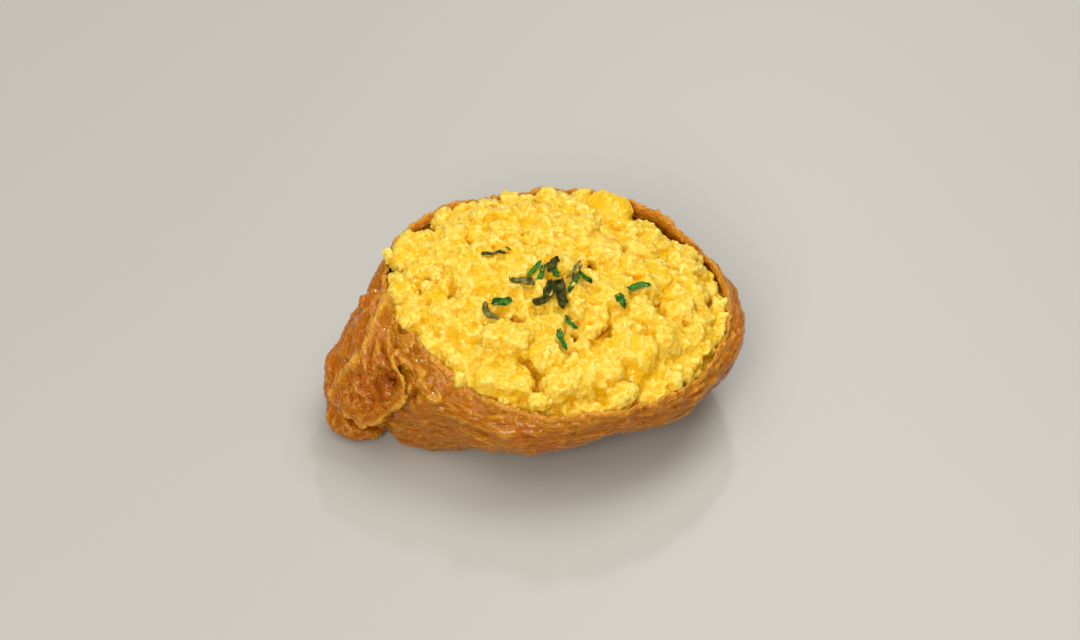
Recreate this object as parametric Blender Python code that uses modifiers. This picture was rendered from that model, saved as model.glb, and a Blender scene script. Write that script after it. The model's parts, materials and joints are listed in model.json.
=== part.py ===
"""Inari sushi: a simmered fried-tofu pouch, open at the top and heaped with soft egg curds.

Metres, +Z up. The origin is on the table, under the middle of the object's box.
+X runs along the longest side, from the folded corner of the pouch to its round end.
Run with: blender --background --python part.py
"""

import math

import bmesh
import bpy
from mathutils import Euler, Matrix, Vector, noise

MM = 0.001

# The opening of the pouch, and the skin round it
OPENING_HALF_X = 32.6 * MM
OPENING_HALF_Y = 29.6 * MM
OPENING_CENTRE = Vector((3.85, 0.0, 0.0)) * MM
SKIN = 1.8 * MM
RIM_HEIGHT = 21.0 * MM
RIM_TILT = 2.2 * MM
BELLY_SWELL = 1.6 * MM
BELLY_SHARE = 0.86
FOOT_SHARE = 0.42

# Where the opening swells out or is drawn in: direction and spread in degrees, and amount
OPENING_SWELLS = (
    (216, 34, -4.6 * MM),
    (152, 22, 1.4 * MM),
    (40, 28, -1.4 * MM),
    (322, 24, 0.6 * MM),
)
# Where the belly stands out further below the lip, and the foot below the belly
BELLY_SWELLS = (
    (350, 40, 0.8 * MM),
    (120, 40, -0.6 * MM),
    (306, 32, -1.8 * MM),
    (218, 30, 4.4 * MM),
    (209, 14, 2.4 * MM),
)
FOOT_SWELLS = ((214, 30, 15.0 * MM), (209, 18, 8.0 * MM), (306, 36, -5.0 * MM))
# Where the wall is tucked in under the belly, as an exponent over 1
TUCKS = ((314, 44, 0.9),)
# Where the lip stands higher or lower, and its slow waves: how many, height, and phase in degrees
LIP_SWELLS = ((54, 20, 1.2 * MM), (205, 22, 0.8 * MM))
LIP_WAVES = ((3, 0.5 * MM, 20), (5, 0.45 * MM, 75), (9, 0.3 * MM, 10))
# Shallow dents and puckers round the wall: how many, depth, phase and twist with height
WALL_WAVES = ((7, 0.45 * MM, 0, 2.0), (12, 0.35 * MM, 50, -3.0), (19, 0.2 * MM, 15, 4.0))

# The egg: it fills the pouch to within GAP of the skin, and rises to a lumpy dome
GAP = 0.35 * MM
HEAP_RISE = 8.0 * MM
EDGE_DROP = 1.2 * MM
CURD_SIZE = 8.0 * MM
CURD_RELIEF = 3.8 * MM
CRUMB_SIZE = 3.6 * MM
CRUMB_RELIEF = 1.5 * MM
EGG_TOP = 40.0 * MM

# The folded corner, from the opening's left edge down to the table
ROLL_PATH = (
    (-26.55, 14, 17),
    (-30.05, 7, 16.5),
    (-33.95, -2, 13.5),
    (-36.15, -9.5, 8.5),
    (-35.55, -15, 4.5),
)
ROLL_RADII = (2.0, 2.8, 4.0, 4.5, 4.0)
CORNER_CORE = ((-28.55, -8.5, 9.5), (8.5, 10.5, 9.5), (12, 18, -30))
LOWER_LOBE = ((-33.95, -16.0, 3.4), (6.2, 5.0, 3.7), (0, 6, -14))
PLEAT_PATH = ((-23.05, -12, 20.4), (-24.55, -17.0, 17.5), (-21.55, -21.6, 14.0))
PLEAT_RADII = (1.4, 1.8, 0.9)
FLAP_THICKNESS = 2.0 * MM
FLAP_ROWS = (
    ((-32.15, 6.0, 19.4), (-29.75, 0.0, 21.8), (-26.55, -7.0, 21.6), (-23.15, -12.6, 20.4)),
    ((-35.75, -1.6, 16.4), (-33.95, -6.0, 18.8), (-29.95, -12.8, 19.0), (-24.95, -17.8, 18.2)),
    ((-37.75, -8.0, 12.4), (-36.35, -13.0, 13.4), (-32.35, -19.2, 13.8), (-25.55, -22.6, 14.4)),
    ((-37.95, -13.0, 8.0), (-36.15, -18.4, 6.2), (-32.55, -22.4, 6.6), (-27.15, -24.0, 9.4)),
)

# Mesh density
SEGMENTS = 72
BELLY_RINGS = 7
WALL_RINGS = 4
LIP_RINGS = 3
HEAP_CELL = 1.7 * MM
CORNER_VOXEL = 0.8 * MM
CORNER_DETAIL = 0.2


def swell(angle, table):
    """Sum of the smooth local swells at this angle, in radians."""
    total = 0.0
    for centre, spread, amount in table:
        turn = (math.degrees(angle) - centre + 180) % 360 - 180
        total += amount * math.exp(-((turn / spread) ** 2))
    return total


def opening_radius(angle):
    """Distance from the opening's centre to the inner edge of the lip."""
    x = math.cos(angle) / OPENING_HALF_X
    y = math.sin(angle) / OPENING_HALF_Y
    return 1 / math.hypot(x, y) + swell(angle, OPENING_SWELLS)


def rim_height(angle):
    """Height of the lip, which stands higher at the back than at the front."""
    height = RIM_HEIGHT + RIM_TILT * math.sin(angle) + swell(angle, LIP_SWELLS)
    for count, size, phase in LIP_WAVES:
        height += size * math.sin(count * angle + math.radians(phase))
    return height


def pucker(angle, rise):
    """How far a dent or pucker moves the outer wall at this angle and share of its height."""
    total = 0.0
    for count, depth, phase, twist in WALL_WAVES:
        total += depth * math.sin(count * angle + math.radians(phase) + twist * rise)
    return total * math.sin(math.pi * rise)


def wall_profile(angle, inset):
    """(radius, height) stations of the wall from its foot to the lip, moved inwards by inset.

    The lower stations follow a quarter ellipse from the flat foot to the belly, and the
    upper ones lean back in from the belly to the lip.
    """
    lip = opening_radius(angle) + SKIN - inset
    belly = lip + BELLY_SWELL + swell(angle, BELLY_SWELLS)
    foot = (opening_radius(angle) + SKIN) * FOOT_SHARE + swell(angle, FOOT_SWELLS)
    top = rim_height(angle) - 0.5 * SKIN
    middle = top * BELLY_SHARE
    tuck = 1 + swell(angle, TUCKS)
    stations = []
    for k in range(BELLY_RINGS + 1):
        turn = math.radians(90 * k / BELLY_RINGS)
        radius = foot + (belly - foot) * math.sin(turn) ** tuck
        height = inset + (middle - inset) * (1 - math.cos(turn))
        stations.append((radius, height))
    for k in range(1, WALL_RINGS + 1):
        share = k / WALL_RINGS
        radius = belly + (lip - belly) * (1 - math.cos(math.radians(90 * share)))
        stations.append((radius, middle + (top - middle) * share))
    return stations


def outer_profile(angle):
    """The outside of the skin, with its puckers."""
    stations = wall_profile(angle, 0)
    top = stations[-1][1]
    return [(radius + pucker(angle, height / top), height) for radius, height in stations]


def lip_profile(angle):
    """The round lip, from the outer edge over the top to the inner edge."""
    outer = wall_profile(angle, 0)[-1]
    inner = wall_profile(angle, SKIN)[-1]
    middle = (outer[0] + inner[0]) / 2
    half = (outer[0] - inner[0]) / 2
    stations = []
    for k in range(1, LIP_RINGS + 1):
        turn = math.pi * k / (LIP_RINGS + 1)
        stations.append((middle + half * math.cos(turn), outer[1] + half * math.sin(turn)))
    return stations


def pouch_profile(angle):
    """The whole skin: up the outside, over the lip and down the inside."""
    return outer_profile(angle) + lip_profile(angle) + wall_profile(angle, SKIN)[::-1]


def middle_profile(angle):
    """The middle of the skin, which the folded corner is cut back to."""
    return wall_profile(angle, SKIN / 2)


def pillow(x, y, size, seed):
    """A field of soft lumps of about this size, from 0 in the creases to 1 on the tops."""
    spot = Vector((x / size, y / size, seed))
    distances, centres = noise.voronoi(spot)
    crease = min(1.0, (distances[1] - distances[0]) * 2.2)
    tallness = 0.55 + 0.45 * noise.cell(centres[0] * 7.3)
    return math.sqrt(crease) * tallness


def heap_height(x, y):
    """Height of the egg at x, y from the opening's centre: a dome with a relief of curds."""
    share = min(1.0, math.hypot(x, y) / opening_radius(math.atan2(y, x)))
    ground = RIM_HEIGHT + RIM_TILT * y / OPENING_HALF_Y - EDGE_DROP
    dome = HEAP_RISE * (1 - share**2.4)
    lumps = CURD_RELIEF * (pillow(x, y, CURD_SIZE, 0.3) - 0.6)
    lumps += CRUMB_RELIEF * (pillow(x, y, CRUMB_SIZE, 4.1) - 0.6)
    return ground + dome + lumps * min(1.0, 0.3 + 4 * (1 - share))


def ring(profile_at, station):
    """One ring of points round the opening's centre, at this station of the profile."""
    points = []
    for k in range(SEGMENTS):
        angle = 2 * math.pi * k / SEGMENTS
        radius, height = profile_at(angle)[station]
        flat = Vector((radius * math.cos(angle), radius * math.sin(angle), height))
        points.append(OPENING_CENTRE + flat)
    return points


def rings_of(profile_at):
    return [ring(profile_at, k) for k in range(len(profile_at(0.0)))]


def egg_wall(angle):
    """The side of the egg, which lies against the inside of the skin, carried on straight up."""
    stations = wall_profile(angle, SKIN + GAP)
    return stations + [(stations[-1][0], EGG_TOP)]


def collection_named(name):
    made = bpy.data.collections.new(name)
    bpy.context.scene.collection.children.link(made)
    return made


def object_of(name, mesh, collection):
    """An object in this collection, shaded smooth, from a bmesh, which is freed."""
    data = bpy.data.meshes.new(name)
    mesh.to_mesh(data)
    mesh.free()
    data.shade_smooth()
    obj = bpy.data.objects.new(name, data)
    collection.objects.link(obj)
    return obj


def loft(name, rings, collection):
    """A closed skin over rings of equal count, with a flat face at each end."""
    mesh = bmesh.new()
    rows = [[mesh.verts.new(point) for point in points] for points in rings]
    for below, above in zip(rows, rows[1:]):
        for k in range(len(below)):
            n = (k + 1) % len(below)
            mesh.faces.new((below[k], below[n], above[n], above[k]))
    mesh.faces.new(rows[0][::-1])
    mesh.faces.new(rows[-1])
    return object_of(name, mesh, collection)


def add_lobe(mesh, centre, radii, turn):
    """Adds a soft rounded lump to the mesh; turn is in degrees about X, Y and Z."""
    placed = Matrix.Translation(Vector(centre) * MM)
    turned = Euler([math.radians(a) for a in turn]).to_matrix().to_4x4()
    stretched = Matrix.Diagonal((*[r * MM for r in radii], 1))
    bmesh.ops.create_uvsphere(
        mesh, u_segments=32, v_segments=20, radius=1, matrix=placed @ turned @ stretched
    )


def add_roll(mesh, path, radii):
    """Adds a rolled edge of skin to the mesh: a tube along a smooth path, thick where radii say."""
    curve = bpy.data.curves.new("roll", "CURVE")
    curve.dimensions = "3D"
    curve.bevel_depth = MM
    curve.bevel_resolution = 4
    curve.use_fill_caps = True
    curve.resolution_u = 8
    spline = curve.splines.new("BEZIER")
    spline.bezier_points.add(len(path) - 1)
    for point, place, radius in zip(spline.bezier_points, path, radii):
        point.co = Vector(place) * MM
        point.radius = radius
        point.handle_left_type = point.handle_right_type = "AUTO"
    obj = bpy.data.objects.new("roll", curve)
    bpy.context.scene.collection.objects.link(obj)
    evaluated = obj.evaluated_get(bpy.context.evaluated_depsgraph_get())
    tube = bpy.data.meshes.new_from_object(evaluated)
    mesh.from_mesh(tube)
    bmesh.ops.remove_doubles(mesh, verts=mesh.verts, dist=0.01 * MM)
    bpy.data.objects.remove(obj)
    for point, radius in ((path[0], radii[0]), (path[-1], radii[-1])):
        add_lobe(mesh, point, (radius, radius, radius), (0, 0, 0))


def flap(collection):
    """The flap of skin that is folded over the corner, as a thick curved sheet."""
    mesh = bmesh.new()
    rows = [[mesh.verts.new(Vector(p) * MM) for p in row] for row in FLAP_ROWS]
    for upper, lower in zip(rows, rows[1:]):
        for k in range(len(upper) - 1):
            mesh.faces.new((upper[k], lower[k], lower[k + 1], upper[k + 1]))
    obj = object_of("corner_flap", mesh, collection)
    thick = obj.modifiers.new("skin", "SOLIDIFY")
    thick.thickness = FLAP_THICKNESS
    thick.offset = 0
    soft = obj.modifiers.new("soft", "SUBSURF")
    soft.levels = soft.render_levels = 3
    return obj


def corner(collection):
    """The folded corner in one closed piece, cut back to the middle of the pouch's skin."""
    mesh = bmesh.new()
    sheet = flap(collection)
    evaluated = sheet.evaluated_get(bpy.context.evaluated_depsgraph_get())
    mesh.from_mesh(bpy.data.meshes.new_from_object(evaluated))
    bpy.data.objects.remove(sheet)
    add_lobe(mesh, *CORNER_CORE)
    add_lobe(mesh, *LOWER_LOBE)
    add_roll(mesh, ROLL_PATH, ROLL_RADII)
    add_roll(mesh, PLEAT_PATH, PLEAT_RADII)
    obj = as_helper(object_of("corner", mesh, collection))
    merged = obj.modifiers.new("merged", "REMESH")
    merged.mode = "VOXEL"
    merged.voxel_size = CORNER_VOXEL
    merged.use_smooth_shade = True
    eased = obj.modifiers.new("eased", "SMOOTH")
    eased.factor = 0.5
    eased.iterations = 2
    fewer = obj.modifiers.new("fewer", "DECIMATE")
    fewer.ratio = CORNER_DETAIL
    for name, cutter in (
        ("hollow", as_helper(loft("hollow", rings_of(middle_profile), collection))),
        ("table", as_helper(table_block(collection))),
    ):
        cut = obj.modifiers.new(name, "BOOLEAN")
        cut.operation = "DIFFERENCE"
        cut.object = cutter
    return obj


def table_block(collection):
    """A block below the table's surface, which flattens the corner where it rests."""
    mesh = bmesh.new()
    side = 200 * MM
    bmesh.ops.create_cube(mesh, size=side, matrix=Matrix.Translation((0, 0, -side / 2)))
    return object_of("table_block", mesh, collection)


def as_helper(obj):
    obj.hide_render = True
    obj.display_type = "WIRE"
    return obj


def material(name, colour, roughness):
    made = bpy.data.materials.new(name)
    made.use_nodes = True
    shader = made.node_tree.nodes["Principled BSDF"]
    shader.inputs["Base Color"].default_value = (*colour, 1)
    shader.inputs["Roughness"].default_value = roughness
    shader.inputs["Metallic"].default_value = 0
    return made


def pouch(parts, helpers):
    """The tofu skin: the bowl of the pouch, joined to its folded corner."""
    obj = loft("tofu_pouch", rings_of(pouch_profile), parts)
    join = obj.modifiers.new("folded_corner", "BOOLEAN")
    join.operation = "UNION"
    join.object = corner(helpers)
    obj.data.materials.append(material("simmered_tofu_skin", (0.56, 0.25, 0.06), 0.35))
    return obj


def space_above_heap(collection):
    """A block whose underside is the lumpy top of the heap."""
    mesh = bmesh.new()
    cells = round(2.4 * OPENING_HALF_X / HEAP_CELL)
    bmesh.ops.create_grid(mesh, x_segments=cells, y_segments=cells, size=1.2 * OPENING_HALF_X)
    roof = bmesh.ops.extrude_face_region(mesh, geom=mesh.faces[:])["geom"]
    roof = [item for item in roof if isinstance(item, bmesh.types.BMVert)]
    for vert in set(mesh.verts) - set(roof):
        vert.co.z = heap_height(vert.co.x, vert.co.y)
    for vert in roof:
        vert.co.z = 2 * EGG_TOP
    bmesh.ops.translate(mesh, verts=mesh.verts, vec=OPENING_CENTRE)
    bmesh.ops.recalc_face_normals(mesh, faces=mesh.faces)
    return object_of("space_above_heap", mesh, collection)


def egg(parts, helpers):
    """The egg: one solid from the pouch's floor to the lumpy top of the heap."""
    obj = loft("egg_filling", rings_of(egg_wall), parts)
    cut = obj.modifiers.new("heap_top", "BOOLEAN")
    cut.operation = "DIFFERENCE"
    cut.object = as_helper(space_above_heap(helpers))
    obj.data.materials.append(material("soft_egg", (0.93, 0.68, 0.12), 0.4))
    return obj


def main():
    for obj in list(bpy.data.objects):
        bpy.data.objects.remove(obj)
    parts = collection_named("inari_sushi")
    helpers = collection_named("helpers")
    pouch(parts, helpers)
    egg(parts, helpers)


main()
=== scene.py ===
# %% [markdown]
# # Inari sushi, heaped with soft egg
#
# A sheet of fried tofu is simmered in sweet soy, opened like a bag and filled to
# the brim. Here the filling is soft scrambled egg with a pinch of dried parsley.
# This lesson dresses the plain CAD model: its tofu skin gets wrinkles, a torn lip
# and a folded corner, and its heap becomes real curds and crumbs.

import json
import math
import random

import bpy
import numpy as np
from mathutils import Euler, Matrix, Vector, noise
from mathutils.bvhtree import BVHTree

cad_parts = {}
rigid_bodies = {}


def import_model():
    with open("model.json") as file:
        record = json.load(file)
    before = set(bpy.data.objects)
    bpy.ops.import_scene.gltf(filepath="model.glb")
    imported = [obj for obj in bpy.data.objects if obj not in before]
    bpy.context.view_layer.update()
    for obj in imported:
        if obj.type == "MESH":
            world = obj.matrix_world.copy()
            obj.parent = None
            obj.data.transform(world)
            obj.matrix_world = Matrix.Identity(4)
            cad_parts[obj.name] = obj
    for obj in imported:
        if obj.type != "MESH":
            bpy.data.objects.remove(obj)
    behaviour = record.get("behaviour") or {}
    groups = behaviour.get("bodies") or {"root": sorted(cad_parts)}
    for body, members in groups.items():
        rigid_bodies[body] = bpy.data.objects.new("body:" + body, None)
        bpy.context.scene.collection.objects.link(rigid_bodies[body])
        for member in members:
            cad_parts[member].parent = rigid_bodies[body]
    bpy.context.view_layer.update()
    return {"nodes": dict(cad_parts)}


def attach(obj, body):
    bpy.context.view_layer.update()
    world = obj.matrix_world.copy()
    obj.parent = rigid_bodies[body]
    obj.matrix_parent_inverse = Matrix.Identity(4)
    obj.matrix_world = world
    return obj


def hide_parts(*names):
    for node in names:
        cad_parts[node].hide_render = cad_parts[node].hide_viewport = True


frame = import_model()
bpy.ops.object.select_all(action="DESELECT")
MM = 0.001
random.seed(11)


# %% [markdown]
# The helpers below do by name what a modeller does by hand: pick one object, apply
# its modifiers, read its points, and write them back.


# %% Working on one object
def only(obj):
    """Selects this object alone and makes it the active one."""
    bpy.ops.object.select_all(action="DESELECT")
    obj.select_set(True)
    bpy.context.view_layer.objects.active = obj
    return obj


def apply_all(obj):
    only(obj)
    for modifier in list(obj.modifiers):
        bpy.ops.object.modifier_apply(modifier=modifier.name)


def points_of(obj):
    flat = np.empty(len(obj.data.vertices) * 3)
    obj.data.vertices.foreach_get("co", flat)
    return flat.reshape(-1, 3)


def normals_of(obj):
    flat = np.empty(len(obj.data.vertices) * 3)
    obj.data.vertex_normals.foreach_get("vector", flat)
    return flat.reshape(-1, 3)


def place_points(obj, points):
    obj.data.vertices.foreach_set("co", np.ascontiguousarray(points).ravel())
    obj.data.update()


def keep_value(obj, name, values):
    """Stores a number for each point, which a material can read by this name."""
    layer = obj.data.attributes.new(name, "FLOAT", "POINT")
    layer.data.foreach_set("value", np.ascontiguousarray(values, dtype=np.float32))


def keep_vector(obj, name, values):
    layer = obj.data.attributes.new(name, "FLOAT_VECTOR", "POINT")
    layer.data.foreach_set("vector", np.ascontiguousarray(values, dtype=np.float32).ravel())


def eased(obj, points, rounds):
    """The points, each moved to the middle of its neighbours this many times."""
    ends = np.empty(len(obj.data.edges) * 2, dtype=np.int32)
    obj.data.edges.foreach_get("vertices", ends)
    start, end = ends.reshape(-1, 2).T
    many = len(points)
    count = np.bincount(start, minlength=many) + np.bincount(end, minlength=many)
    for _ in range(rounds):
        total = [
            np.bincount(start, points[end, k], many) + np.bincount(end, points[start, k], many)
            for k in range(3)
        ]
        points = np.column_stack(total) / np.maximum(count, 1)[:, None]
    return points


def crest_of(obj, rounds):
    """How far each point stands above the mean surface round it, in mm."""
    points = points_of(obj)
    return ((points - eased(obj, points, rounds)) * normals_of(obj)).sum(axis=1) / MM


def drop_specks(obj):
    """Keeps what hangs together with the highest point, without loose bits and fins."""
    highest = int(np.argmax(points_of(obj)[:, 2]))
    before = len(obj.data.polygons)
    only(obj)
    bpy.ops.object.mode_set(mode="EDIT")
    bpy.ops.mesh.select_mode(type="VERT")
    bpy.ops.mesh.select_all(action="DESELECT")
    bpy.ops.object.mode_set(mode="OBJECT")
    obj.data.vertices[highest].select = True
    bpy.ops.object.mode_set(mode="EDIT")
    bpy.ops.mesh.select_linked()
    bpy.ops.mesh.select_all(action="INVERT")
    bpy.ops.mesh.delete(type="VERT")
    bpy.ops.mesh.select_mode(type="EDGE")
    bpy.ops.mesh.select_non_manifold(
        extend=False, use_multi_face=False, use_non_contiguous=False, use_verts=False
    )
    bpy.ops.mesh.delete(type="EDGE")
    bpy.ops.mesh.select_mode(type="VERT")
    bpy.ops.object.mode_set(mode="OBJECT")
    print(obj.name, "lost", before - len(obj.data.polygons), "faces of loose bits")


def decimated_where(obj, hidden, ratio):
    """Leaves this share of the faces, and takes the others from the hidden points first."""
    obj.vertex_groups.new(name="hidden").add(hidden.tolist(), 1.0, "REPLACE")
    fewer = obj.modifiers.new("fewer", "DECIMATE")
    fewer.vertex_group = "hidden"
    fewer.vertex_group_factor = 200.0
    fewer.ratio = ratio
    apply_all(obj)
    obj.vertex_groups.clear()
    drop_specks(obj)


def smooth_step(low, high, values):
    share = np.clip((values - low) / (high - low), 0, 1)
    return share * share * (3 - 2 * share)


# %% [markdown]
# Food is never regular, so nearly every step leans on noise. The three patterns here
# are soft swells, sharp ridges like creased skin, and round cells like grains.


# %% Patterns in space
def pattern(kind, places, size, seed):
    """The pattern's value at each place. places and size are in mm, and seed slides it."""
    slide = Vector((seed * 13.7, seed * 7.1, seed * 3.3))
    stretched = (places / size).tolist()
    return np.array([kind(Vector(p) + slide) for p in stretched])


def swells(p):
    return noise.fractal(p, 0.9, 2.1, 3)


def ridges(p):
    first = 1 - 2.4 * abs(noise.noise(p))
    second = 1 - 2.4 * abs(noise.noise(p * 2.3))
    return 0.65 * first + 0.35 * second


def grains(p):
    return 1 - 1.6 * noise.voronoi(p)[0][0]


def curdled(p):
    """Round crumbs of many sizes, with sharp creases between them."""
    return noise.turbulence(p, 4, True) - 0.45


# %% [markdown]
# ## The egg
#
# The heap is a dome of curds. Each curd is a torn block, and each block is covered in
# smaller grains. All of them are copies of one rough ball, melted together by a voxel
# remesh, which leaves the sharp creases between them that soft egg has.

# %% The opening and the dome
OPENING_HALF = (32.6, 29.6)
OPENING_X = 3.85
OPENING_SWELLS = ((216, 34, -4.6), (152, 22, 1.4), (40, 28, -1.4), (322, 24, 0.6))
RIM_HEIGHT, RIM_TILT = 21.0, 2.2
LIP_SWELLS = ((54, 20, 1.2), (205, 22, 0.8))
LIP_WAVES = ((3, 0.5, 20), (5, 0.45, 75), (9, 0.3, 10))
HEAP_RISE = 7.0
# At these angles the egg stops short of the lip, and the inner wall shows
EGG_GAPS = ((46, 24, -0.07), (112, 16, -0.03))


def swell(angle, table):
    total = 0
    for centre, spread, amount in table:
        turn = (np.degrees(angle) - centre + 180) % 360 - 180
        total = total + amount * np.exp(-((turn / spread) ** 2))
    return total


def opening_radius(angle):
    """Distance in mm from the opening's centre to the inside of the lip."""
    reach = 1 / np.hypot(np.cos(angle) / OPENING_HALF[0], np.sin(angle) / OPENING_HALF[1])
    return reach + swell(angle, OPENING_SWELLS)


def rim_height(angle):
    height = RIM_HEIGHT + RIM_TILT * np.sin(angle) + swell(angle, LIP_SWELLS)
    for count, size, phase in LIP_WAVES:
        height = height + size * np.sin(count * angle + math.radians(phase))
    return height


def dome(x, y):
    """Height in mm of the heap before its curds, and the share of the way to the lip."""
    angle = np.arctan2(y, x - OPENING_X)
    edge = opening_radius(angle) * (1.02 + swell(angle, EGG_GAPS))
    share = np.hypot(x - OPENING_X, y) / edge
    ground = RIM_HEIGHT - 0.8 + RIM_TILT * y / OPENING_HALF[1]
    return ground + HEAP_RISE * (1 - np.minimum(share, 1.1) ** 2.4), share


# %% [markdown]
# The large curds are set out one by one. Pale curds are crumbly, and a few yolk-rich
# ones are smooth and deep yellow. Between them, a loose grid of smaller curds fills
# the dome, with gaps left open as the dark valleys.

# %% The large curds
# x, y, height above the dome, half length, half width, half height, turn, yolk share
LARGE_CURDS = (
    (-20.5, 23.0, -0.4, 3.0, 2.4, 2.2, 20, 0.1),
    (-15.0, 25.6, -0.2, 2.8, 2.4, 2.4, 10, 0.4),
    (-10.0, 26.2, -0.6, 3.2, 2.2, 2.0, 0, 0.3),
    (-25.6, 15.6, 0.0, 2.8, 2.8, 2.6, 30, 0.0),
    (-29.0, 11.6, 0.2, 1.7, 2.0, 1.8, 0, 0.1),
    (-16.0, 14.6, -0.2, 2.9, 3.6, 2.6, -10, 0.0),
    (-10.5, 19.5, 0.0, 3.0, 2.6, 2.4, 15, 0.2),
    (-26.2, 0.6, -0.2, 2.9, 2.4, 2.2, 20, 0.1),
    (-23.4, -7.0, 0.5, 2.8, 2.9, 2.9, 0, 0.0),
    (-20.4, -13.4, 0.4, 2.6, 2.8, 2.6, 25, 0.1),
    (-16.6, -9.6, -0.2, 2.9, 2.4, 2.3, -20, 0.1),
    (-14.0, -6.4, 0.2, 2.2, 1.8, 2.0, 10, 0.0),
    (-17.6, -17.6, -0.2, 2.2, 1.6, 1.5, -35, 0.7),
    (-4.6, -15.4, 0.9, 5.0, 3.8, 3.2, -8, 0.0),
    (-5.4, -23.6, 0.6, 5.6, 2.8, 2.6, -6, 0.45),
    (-11.4, -21.4, 0.0, 2.0, 1.8, 1.8, 20, 0.2),
    (9.0, -24.0, 0.9, 6.6, 2.6, 2.8, 24, 0.1),
    (12.6, -21.4, 0.6, 4.6, 3.0, 2.6, 10, 0.2),
    (3.4, -26.6, 0.0, 3.0, 1.8, 1.8, 20, 0.3),
    (19.0, -16.8, 0.6, 4.8, 3.9, 2.9, -25, 0.55),
    (25.2, -12.4, 0.7, 2.4, 3.6, 2.7, 12, 0.1),
    (28.6, -4.6, 0.3, 2.6, 2.6, 2.4, 0, 0.1),
    (32.0, -5.2, -0.1, 2.0, 1.7, 1.8, 10, 0.4),
    (30.6, -9.6, -0.1, 2.0, 2.0, 1.8, 0, 0.2),
    (28.4, 8.6, 0.1, 3.0, 2.4, 2.3, -30, 0.0),
    (31.4, 2.4, -0.2, 2.0, 2.4, 2.0, -20, 0.1),
    (14.2, 23.0, 0.5, 4.8, 4.2, 3.1, -20, 1.0),
    (13.0, 27.4, 0.2, 2.6, 1.6, 2.0, -10, 0.9),
    (22.4, 2.6, 0.3, 4.2, 2.7, 2.4, -22, 0.9),
    (3.0, 20.4, -0.5, 3.4, 2.6, 1.9, 0, 0.85),
    (24.0, 14.6, 0.0, 3.2, 2.8, 2.4, -35, 0.2),
    (20.6, 9.4, 0.0, 3.0, 2.4, 2.2, -10, 0.2),
    (8.4, 14.6, 0.3, 3.0, 3.2, 2.6, 0, 0.0),
    (1.4, 12.6, 0.2, 2.8, 2.8, 2.4, 10, 0.1),
    (-6.0, 13.6, 0.1, 2.8, 2.6, 2.3, 0, 0.1),
    (-22.0, 5.0, 0.1, 2.8, 2.4, 2.2, 30, 0.1),
    (-14.6, 4.4, 0.2, 3.2, 2.6, 2.3, -10, 0.0),
    (-8.4, -1.4, 0.0, 2.6, 2.4, 2.2, 10, 0.1),
    (13.4, 6.4, 0.4, 3.4, 3.0, 2.6, 10, 0.0),
    (14.6, -4.6, 0.4, 3.6, 3.4, 2.7, 0, 0.0),
    (8.6, -8.2, 0.0, 2.6, 2.4, 2.2, 30, 0.1),
    (-9.4, -9.6, 0.0, 2.2, 2.0, 2.0, 0, 0.1),
    (20.6, -7.4, 0.3, 2.8, 2.8, 2.4, 20, 0.1),
    (4.6, 27.0, -0.6, 3.0, 2.0, 2.0, 0, 0.2),
    (21.4, 20.6, -0.3, 2.8, 2.4, 2.1, -30, 0.2),
)
# x, y, radius: the valleys that stay open
VALLEYS = (
    (-12.6, 13.2, 2.2),
    (-19.4, 12.6, 1.8),
    (-20.8, -1.8, 2.4),
    (-16.2, -2.8, 1.8),
    (-14.0, -19.6, 2.6),
    (1.6, -20.4, 2.6),
    (1.2, -24.4, 2.4),
    (-0.4, -27.8, 2.2),
    (15.6, -12.0, 2.0),
    (11.4, -15.4, 1.9),
    (-3.6, -2.4, 1.6),
    (7.6, 9.6, 1.7),
    (25.6, -7.6, 1.6),
    (0.6, -13.0, 1.6),
)
# Two bits hang over the lip: centre, half sizes and turns
STRAY_CURDS = (
    ((-28.9, 10.2, 21.8), (1.0, 1.4, 2.0), (10, -15, 20)),
    ((-14.0, -22.9, 20.2), (0.9, 0.9, 1.6), (-20, 15, 30)),
)
FILL_SPACING = 3.5
GRAIN_SPACING = 2.3
EGG_VOXEL, EGG_KEPT = 0.33, 0.8
CORE_LEVEL, CORE_DROP = 15.0, 0.15
COVER_REACH = 9
print(len(LARGE_CURDS), "large curds and", len(VALLEYS), "valleys")


# %% [markdown]
# Hundreds of curds would be slow to add one at a time, so one rough ball is made, and
# its copies are written into a single mesh.

# %% Copies of one rough ball
def rough_ball(name, detail, squareness):
    """A ball pulled towards a block: squareness 2 is round, and more is blockier."""
    bpy.ops.mesh.primitive_ico_sphere_add(subdivisions=detail, radius=1)
    ball = bpy.context.object
    ball.name = name
    places = points_of(ball)
    reach = (np.abs(places) ** squareness).sum(axis=1) ** (1 / squareness)
    place_points(ball, places / reach[:, None])
    return ball


def joined_copies(template, name, matrices):
    """One mesh that holds a copy of the template for each matrix."""
    points = points_of(template)
    corners = np.array([tuple(face.vertices) for face in template.data.polygons])
    placed = [
        points @ np.array(m.to_3x3()).T + np.array(m.translation) for m in matrices
    ]
    faces = [corners + k * len(points) for k in range(len(matrices))]
    data = bpy.data.meshes.new(name)
    data.from_pydata(np.concatenate(placed).tolist(), [], np.concatenate(faces).tolist())
    made = bpy.data.objects.new(name, data)
    bpy.context.scene.collection.objects.link(made)
    return made


def placed_block(centre, halves, turns):
    """A matrix that puts the ball at centre with these half sizes, all in mm."""
    turned = Euler([math.radians(a) for a in turns]).to_matrix().to_4x4()
    return Matrix.Translation(Vector(centre) * MM) @ turned @ Matrix.Diagonal(
        (*[h * MM for h in halves], 1)
    )


def in_valley(x, y, grow=1.0):
    return any(math.hypot(x - vx, y - vy) < r * grow for vx, vy, r in VALLEYS)


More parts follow.
